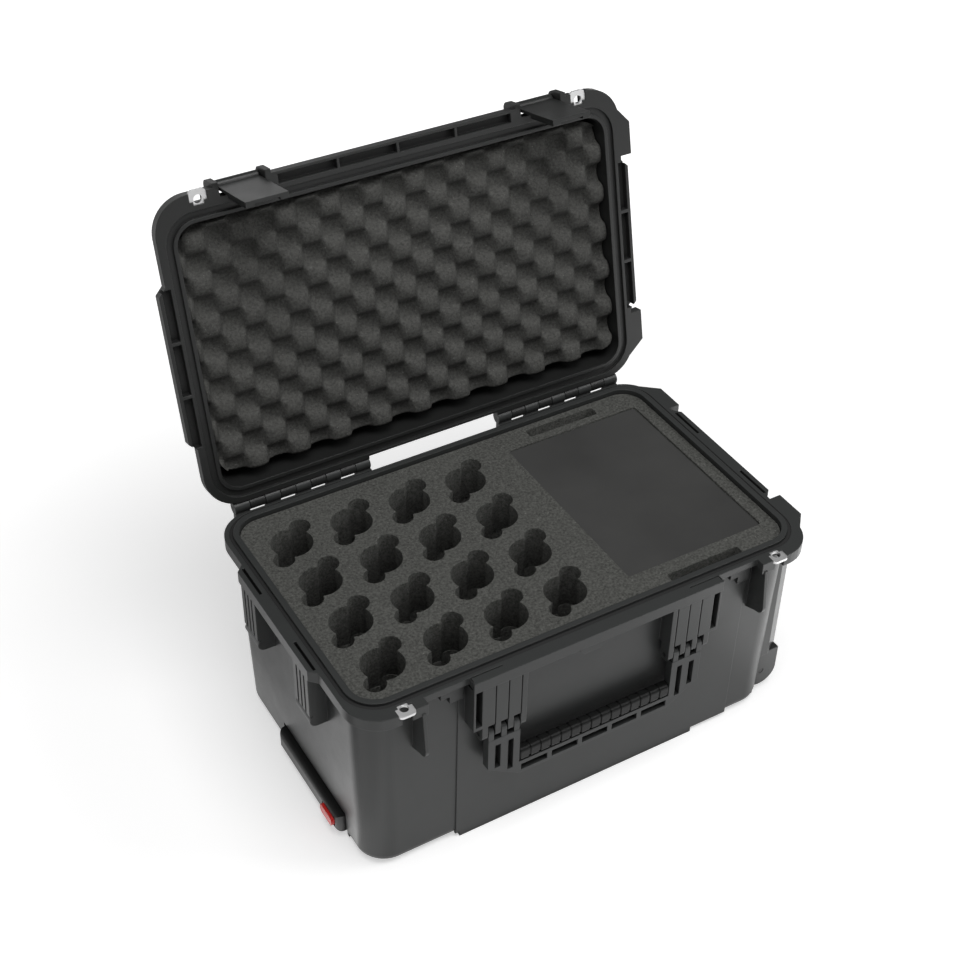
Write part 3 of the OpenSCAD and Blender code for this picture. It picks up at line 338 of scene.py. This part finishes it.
drawn, given, gives = effect(
    "drawn_lines",
    {"Stretch": ("Vector", (90.0, 2600.0, 2600.0)), "Detail": ("Float", 4.0),
     "Dark": ("Color", black), "Bright": ("Color", black), "Polished": ("Float", 0.3),
     "Dull": ("Float", 0.5)},
    {"Color": "Color", "Roughness": "Float", "Height": "Float"})
place = drawn.nodes.new("ShaderNodeTexCoord").outputs["Object"]
stretched = add_node(drawn, "ShaderNodeMapping", Vector=place, Scale=given["Stretch"])
lines = add_node(drawn, "ShaderNodeTexNoise", Vector=stretched.outputs[0], Scale=1.0,
                 Detail=given["Detail"]).outputs["Fac"]
span = maths(drawn, "SUBTRACT", given["Bright"], given["Dark"], kind="ShaderNodeVectorMath")[0]
tone = maths(drawn, "MULTIPLY_ADD", span, lines, given["Dark"], kind="ShaderNodeVectorMath")[0]
feed(drawn, gives["Color"], tone)
feed(drawn, gives["Roughness"], ramp_up(drawn, lines, 0.0, 1.0, given["Polished"],
                                        given["Dull"]))
feed(drawn, gives["Height"], lines)


def brushed(material_name, dark, bright, polished, dull, stretch=(90.0, 2600.0, 2600.0),
            detail=4.0, felt=True):
    """Drawn or rolled metal: lines along X in its tone, its gloss and, if felt, its face."""
    material, tree, shader = wired(material_name)
    shader.inputs["Metallic"].default_value = 1.0
    surface = with_effect(tree, drawn, Stretch=stretch, Detail=detail, Dark=(*dark, 1),
                          Bright=(*bright, 1), Polished=polished, Dull=dull)
    feed(tree, shader.inputs["Base Color"], surface["Color"])
    feed(tree, shader.inputs["Roughness"], surface["Roughness"])
    if felt:
        soft_edge = add_node(tree, "ShaderNodeBevel", Radius=0.0005)
        bump = add_node(tree, "ShaderNodeBump", Strength=0.25, Distance=0.00005,
                        Height=surface["Height"], Normal=soft_edge.outputs[0])
        feed(tree, shader.inputs["Normal"], bump.outputs[0])
    return material


stainless = brushed("brushed_stainless", (0.80, 0.80, 0.80), (0.97, 0.97, 0.97), 0.40, 0.58)
blackened = brushed("blackened_steel", (0.035, 0.035, 0.035), (0.075, 0.075, 0.075), 0.22,
                    0.42)
for node_name in nodes:
    words = node_name.split("_")
    if words[0] == "padlock":
        dress(node_name, stainless)
    elif "pin" in words or "axle" in words or "screws" in words:
        dress(node_name, blackened)


# ---------------------------------------------------------------- Rim gasket
# A cord of black rubber pressed into the groove round the base's tongue. It is matte
# and slightly dusty on top.

rubber = moulded("black_rubber", (0.012, 0.012, 0.012), 0.62, scale=1800.0, mottle=0.3)
dress("rim_gasket", rubber)


# ---------------------------------------------------------------- Front handle
# The handle is one moulding with slots that save weight, on two pins, and a soft
# ribbed rubber grip is moulded over its bar.

handle_plastic = moulded("handle_satin", (0.038, 0.040, 0.040), 0.32, scale=1200.0)
dress("handle_frame", handle_plastic)
grip_rubber = moulded("grip_rubber", (0.0075, 0.0078, 0.0076), 0.34, scale=1600.0, mottle=0.2,
                      specular=0.28)
dress("handle_grip", grip_rubber)


# ---------------------------------------------------------------- Stowage foam
# Dense open-cell foam, cut by water jet. The upper layer has sixteen round holes with
# two finger lobes each, two slots and a well for a smooth pad.

cells, given, gives = effect(
    "open_cells",
    {"Scale": ("Float", 420.0), "Contrast": ("Float", 0.5), "Tint": ("Color", black)},
    {"Color": "Color", "Height": "Float"})
place = cells.nodes.new("ShaderNodeTexCoord").outputs["Object"]
warp = add_node(cells, "ShaderNodeTexNoise", Vector=place, Scale=260.0,
                Detail=2.0).outputs["Fac"]
pores = add_node(cells, "ShaderNodeTexVoronoi", Vector=place,
                 Scale=given["Scale"]).outputs["Distance"]
crumbs = add_node(cells, "ShaderNodeTexNoise", Vector=place, Scale=330.0, Detail=5.0,
                  Roughness=0.75).outputs["Fac"]
clouds = add_node(cells, "ShaderNodeTexNoise", Vector=place, Scale=11.0,
                  Detail=3.0).outputs["Fac"]
crumb_level = ramp_up(cells, crumbs, 0.34, 0.66, -0.5, 0.5)
cloud_level = ramp_up(cells, clouds, 0.0, 1.0, 0.9, 1.1)
scaled = number(cells, "MULTIPLY_ADD", crumb_level, given["Contrast"], cloud_level)

# Specks of pale dust sit on it here and there
dust = add_node(cells, "ShaderNodeTexVoronoi", Vector=place, Scale=120.0).outputs["Distance"]
settled = ramp_up(cells, dust, 0.11, 0.05, high=0.9)
dusty = number(cells, "ADD", scaled, settled)
feed(cells, gives["Color"], tint_by(cells, given["Tint"], dusty))
pitted = number(cells, "MULTIPLY", pores, warp)
feed(cells, gives["Height"], number(cells, "ADD", pitted, crumbs))


def foam_finish(material_name, tint, contrast, depth):
    """Open-cell foam: pores and crumbs over a tone that drifts a little."""
    material, tree, shader = wired(material_name)
    surface = with_effect(tree, cells, Scale=420.0, Contrast=contrast, Tint=(*tint, 1))
    feed(tree, shader.inputs["Base Color"], surface["Color"])
    shader.inputs["Roughness"].default_value = 0.95
    shader.inputs["Specular IOR Level"].default_value = 0.2
    bump = add_node(tree, "ShaderNodeBump", Strength=0.8, Distance=depth,
                    Height=surface["Height"])
    feed(tree, shader.inputs["Normal"], bump.outputs[0])
    return material


def outline_to_spline(curve, points):
    """A closed outline in the curve, from its corners."""
    spline = curve.splines.new("POLY")
    spline.points.add(len(points) - 1)
    for point, (x, y) in zip(spline.points, points):
        point.co = (x, y, 0, 1)
    spline.use_cyclic_u = True


def round_corners(x0, x1, y0, y1, r, steps=8):
    """An oblong with rounded corners."""
    points = []
    for cx, cy, start in ((x1 - r, y1 - r, 0), (x0 + r, y1 - r, 90), (x0 + r, y0 + r, 180),
                          (x1 - r, y0 + r, 270)):
        for k in range(steps + 1):
            a = math.radians(start + 90 * k / steps)
            points.append((cx + r * math.cos(a), cy + r * math.sin(a)))
    return points


def lobed_hole(cx, cy):
    """A round hole of 24.5 mm radius with two lobes of 12.5 mm at 47 degrees."""
    big, small, reach = 0.0245, 0.0125, 0.030
    lobe_steps, side_steps = 14, 20
    meet = math.acos((big ** 2 + reach ** 2 - small ** 2) / (2 * big * reach))
    turn = math.acos((small ** 2 + reach ** 2 - big ** 2) / (2 * small * reach))
    points = []
    for half in (0, math.pi):
        axis = math.radians(47) + half
        mx, my = cx + reach * math.cos(axis), cy + reach * math.sin(axis)
        for k in range(lobe_steps + 1):
            a = axis - (math.pi - turn) + 2 * (math.pi - turn) * k / lobe_steps
            points.append((mx + small * math.cos(a), my + small * math.sin(a)))
        for k in range(1, side_steps):
            a = axis + meet + (math.pi - 2 * meet) * k / side_steps
            points.append((cx + big * math.cos(a), cy + big * math.sin(a)))
    return points


def foam_layer(piece_name, outlines, z0, z1, edge, lean=0.0):
    """A slab of foam with cut-outs, softened at its edges, that narrows downwards."""
    curve = bpy.data.curves.new(piece_name, "CURVE")
    curve.dimensions = "2D"
    curve.fill_mode = "BOTH"
    for points in outlines:
        outline_to_spline(curve, points)
    curve.extrude = (z1 - z0) / 2 - edge
    curve.bevel_depth = edge
    curve.bevel_resolution = 2
    curve.offset = -edge
    rough = bpy.data.objects.new(piece_name + "_outline", curve)
    bpy.context.scene.collection.objects.link(rough)
    bpy.context.view_layer.update()
    mesh = bpy.data.meshes.new_from_object(rough.evaluated_get(
        bpy.context.evaluated_depsgraph_get()))
    mesh.name = piece_name
    bpy.data.objects.remove(rough)
    for vertex in mesh.vertices:
        vertex.co.z += (z0 + z1) / 2
        vertex.co.x *= 1 - lean * (z1 - vertex.co.z)
        vertex.co.y *= 1 - lean * (z1 - vertex.co.z)
    piece = bpy.data.objects.new(piece_name, mesh)
    bpy.context.scene.collection.objects.link(piece)
    return piece


def box_outline(low, high, inset_x, inset_y, r):
    """A box's outline from above, a little inside it."""
    return round_corners(low.x + inset_x, high.x - inset_x, low.y + inset_y, high.y - inset_y,
                         r)


foam_low, foam_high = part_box("case_foam")
cut_r = 0.0295
hole_step_x, hole_step_y, first_hole_y = -0.0767, 0.0742, -0.115
holes = [lobed_hole(hole_step_x * i, first_hole_y + hole_step_y * j)
         for i in range(4) for j in range(4)]
finger_slots = [round_corners(0.114, 0.213, 0.142, 0.156, 0.0035),
                round_corners(0.114, 0.213, -0.1635, -0.1495, 0.0035)]
well = round_corners(0.075, 0.262, -0.131, 0.131, 0.004)
slot_floor = foam_high.z - 0.060
top_layer = foam_layer(
    "stowage_foam_top",
    [box_outline(foam_low, foam_high, 0, 0, cut_r)] + holes + finger_slots + [well],
    slot_floor, foam_high.z, 0.0008, lean=0.10)
low_layer = foam_layer(
    "stowage_foam_low", [box_outline(foam_low, foam_high, 0.0016, 0.001, cut_r)] + holes,
    foam_low.z, slot_floor, 0.0004, lean=0.05)
stowage_grey = foam_finish("stowage_foam", (0.086, 0.087, 0.081), 1.0, 0.0010)
for piece in (top_layer, low_layer):
    piece.data.materials.append(stowage_grey)
    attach(piece, "base")
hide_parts("case_foam")


# ---------------------------------------------------------------- Floor foam
# A darker slab of the same foam under the stowage foam, over the wheel wells. It shows
# only at the bottom of the holes.

floor_low, floor_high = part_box("foam_floor")
slab_low, slab_inset = 0.0715, 0.002
under_layer = foam_layer(
    "foam_floor_slab", [box_outline(floor_low, floor_high, slab_inset, slab_inset, cut_r)],
    slab_low, floor_high.z, 0.0006)
under_layer.data.materials.append(foam_finish("under_foam", (0.03, 0.03, 0.029), 0.6, 0.0009))
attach(under_layer, "base")
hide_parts("foam_floor")


# ---------------------------------------------------------------- Smooth pad
# A slab of dense closed-cell foam in the well at the right. It is smooth, and its top
# lies a little below the stowage foam.

pad_low, pad_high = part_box("accessory_pad")
pad = foam_layer("smooth_pad", [box_outline(pad_low, pad_high, 0, 0, 0.003)], pad_low.z,
                 pad_high.z, 0.0006)
pad_finish, tree, shader = wired("dense_pad")
place = tree.nodes.new("ShaderNodeTexCoord").outputs["Object"]
skin = add_node(tree, "ShaderNodeTexNoise", Vector=place, Scale=1500.0,
                Detail=4.0).outputs["Fac"]
drift = add_node(tree, "ShaderNodeTexNoise", Vector=place, Scale=9.0,
                 Detail=3.0).outputs["Fac"]
ramp = add_node(tree, "ShaderNodeValToRGB", Fac=number(tree, "MULTIPLY", skin, drift))
darkest, palest = ramp.color_ramp.elements
darkest.position = 0.1
darkest.color = (0.041, 0.041, 0.040, 1)
palest.position = 0.5
palest.color = (0.070, 0.070, 0.068, 1)
feed(tree, shader.inputs["Base Color"], ramp.outputs[0])
shader.inputs["Roughness"].default_value = 0.85
shader.inputs["Specular IOR Level"].default_value = 0.3
bump = add_node(tree, "ShaderNodeBump", Strength=0.3, Distance=0.0002, Height=skin)
feed(tree, shader.inputs["Normal"], bump.outputs[0])
pad.data.materials.append(pad_finish)
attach(pad, "base")
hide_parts("accessory_pad")


# ---------------------------------------------------------------- Lid foam
# A sheet of egg-crate foam glued into the lid. Its blunt peaks stand in staggered rows,
# 55 mm apart along the lid and 50 mm across it, and it is trimmed square.

open_deg = 103.3
joints = {joint["name"]: joint for joint in frame["joints"]}
hinge = Vector(joints["lid_hinge"]["pos_m"])
swing = (Matrix.Translation(hinge) @ Matrix.Rotation(math.radians(-open_deg), 4, "X")
         @ Matrix.Translation(-hinge))
unswing = swing.inverted()

# The sheet is drawn as with the lid closed: its half length, front and back edges and
# corners' radius, then the heights of its peaks and its back, and its waves' depth
half_x, sheet_y0, sheet_y1, sheet_r = 0.2725, -0.1545, 0.1455, 0.025
peaks_z, back_z, wave_depth = 0.2743, 0.324, 0.0155
half_y, middle_y = (sheet_y1 - sheet_y0) / 2, (sheet_y0 + sheet_y1) / 2
steps_per_quarter, quarters_x, quarters_y = 6, 40, 24
steps_x, steps_y = quarters_x * steps_per_quarter, quarters_y * steps_per_quarter
bluntness = 0.45
lump_depth, lumps_per_metre, lump_layer = 0.0007, 60, 3.1
egg = bmesh.new()
rows = []
for j in range(steps_y + 1):
    row = []
    for i in range(steps_x + 1):
        x = -half_x + 2 * half_x * i / steps_x
        y = sheet_y0 + (sheet_y1 - sheet_y0) * j / steps_y
        over_x = abs(x) - (half_x - sheet_r)
        over_y = abs(y - middle_y) - (half_y - sheet_r)
        reach = math.hypot(over_x, over_y)
        if over_x > 0 and over_y > 0 and reach > sheet_r:
            x = math.copysign(half_x - sheet_r + over_x * sheet_r / reach, x)
            y = middle_y + math.copysign(half_y - sheet_r + over_y * sheet_r / reach,
                                         y - middle_y)
        wave = (math.cos(math.radians(90 * i / steps_per_quarter + 45))
                * math.cos(math.radians(90 * j / steps_per_quarter + 45)))
        wave = math.copysign(abs(wave) ** bluntness, wave)
        lump = lump_depth * noise.noise(Vector((x * lumps_per_metre, y * lumps_per_metre,
                                                lump_layer)))
        z = peaks_z + wave_depth * (1 - wave) / 2 + lump
        row.append(egg.verts.new(swing @ Vector((x, y, z))))
    rows.append(row)
for j in range(steps_y):
    for i in range(steps_x):
        egg.faces.new((rows[j][i], rows[j + 1][i], rows[j + 1][i + 1], rows[j][i + 1]))
edge_loop = ([rows[0][i] for i in range(steps_x)]
             + [rows[j][steps_x] for j in range(steps_y)]
             + [rows[steps_y][i] for i in range(steps_x, 0, -1)]
             + [rows[j][0] for j in range(steps_y, 0, -1)])
back_loop = []
for vertex in edge_loop:
    closed = unswing @ vertex.co
    back_loop.append(egg.verts.new(swing @ Vector((closed.x, closed.y, back_z))))
count = len(edge_loop)
for k in range(count):
    n = (k + 1) % count
    egg.faces.new((edge_loop[k], edge_loop[n], back_loop[n], back_loop[k]))
egg.faces.new(list(reversed(back_loop)))
bmesh.ops.recalc_face_normals(egg, faces=egg.faces)
egg_mesh = bpy.data.meshes.new("egg_crate")
egg.to_mesh(egg_mesh)
egg.free()
for polygon in egg_mesh.polygons:
    polygon.use_smooth = len(polygon.vertices) == 4
egg_crate = bpy.data.objects.new("egg_crate", egg_mesh)
bpy.context.scene.collection.objects.link(egg_crate)
lid_grey = foam_finish("lid_foam_grey", (0.080, 0.080, 0.0755), 0.75, 0.0009)
egg_crate.data.materials.append(lid_grey)
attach(egg_crate, "lid")
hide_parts("lid_foam")


# ---------------------------------------------------------------- Tow handle
# A black nylon bar at the foot of the left end, on two anodised tubes that slide in
# fixed tubes under the floor. A red button near its front end frees the catch.

tow_plastic = moulded("black_nylon", (0.010, 0.010, 0.010), 0.34, scale=1300.0, mottle=0.2)
for node_name in ("tow_grip", "tow_mouth_block", "tow_end_block", "tow_cover"):
    dress(node_name, tow_plastic)
button_red = moulded("button_red", (0.88, 0.030, 0.026), 0.34, scale=1500.0, mottle=0.15,
                     depth=0.00006, edge=0.0012)
dress("tow_button", button_red)

anodised = brushed("anodised_tube", (0.46, 0.47, 0.48), (0.62, 0.63, 0.64), 0.3, 0.46,
                   stretch=(20.0, 1800.0, 1800.0), detail=3.0, felt=False)
for node_name in nodes:
    if "tube" in node_name.split("_"):
        dress(node_name, anodised)


# ---------------------------------------------------------------- Wheels
# Each wheel is a nylon hub with a moulded-on urethane tyre, on a steel axle between
# the cheeks of its housing at the foot of the right end.

hub_plastic = moulded("hub_nylon", (0.018, 0.018, 0.018), 0.4, scale=1300.0)
tyre_rubber = moulded("urethane_tyre", (0.024, 0.024, 0.024), 0.5, scale=1700.0, mottle=0.25)
for end in ("front", "rear"):
    dress("wheel_hub_" + end, hub_plastic)
    dress("wheel_tyre_" + end, tyre_rubber)
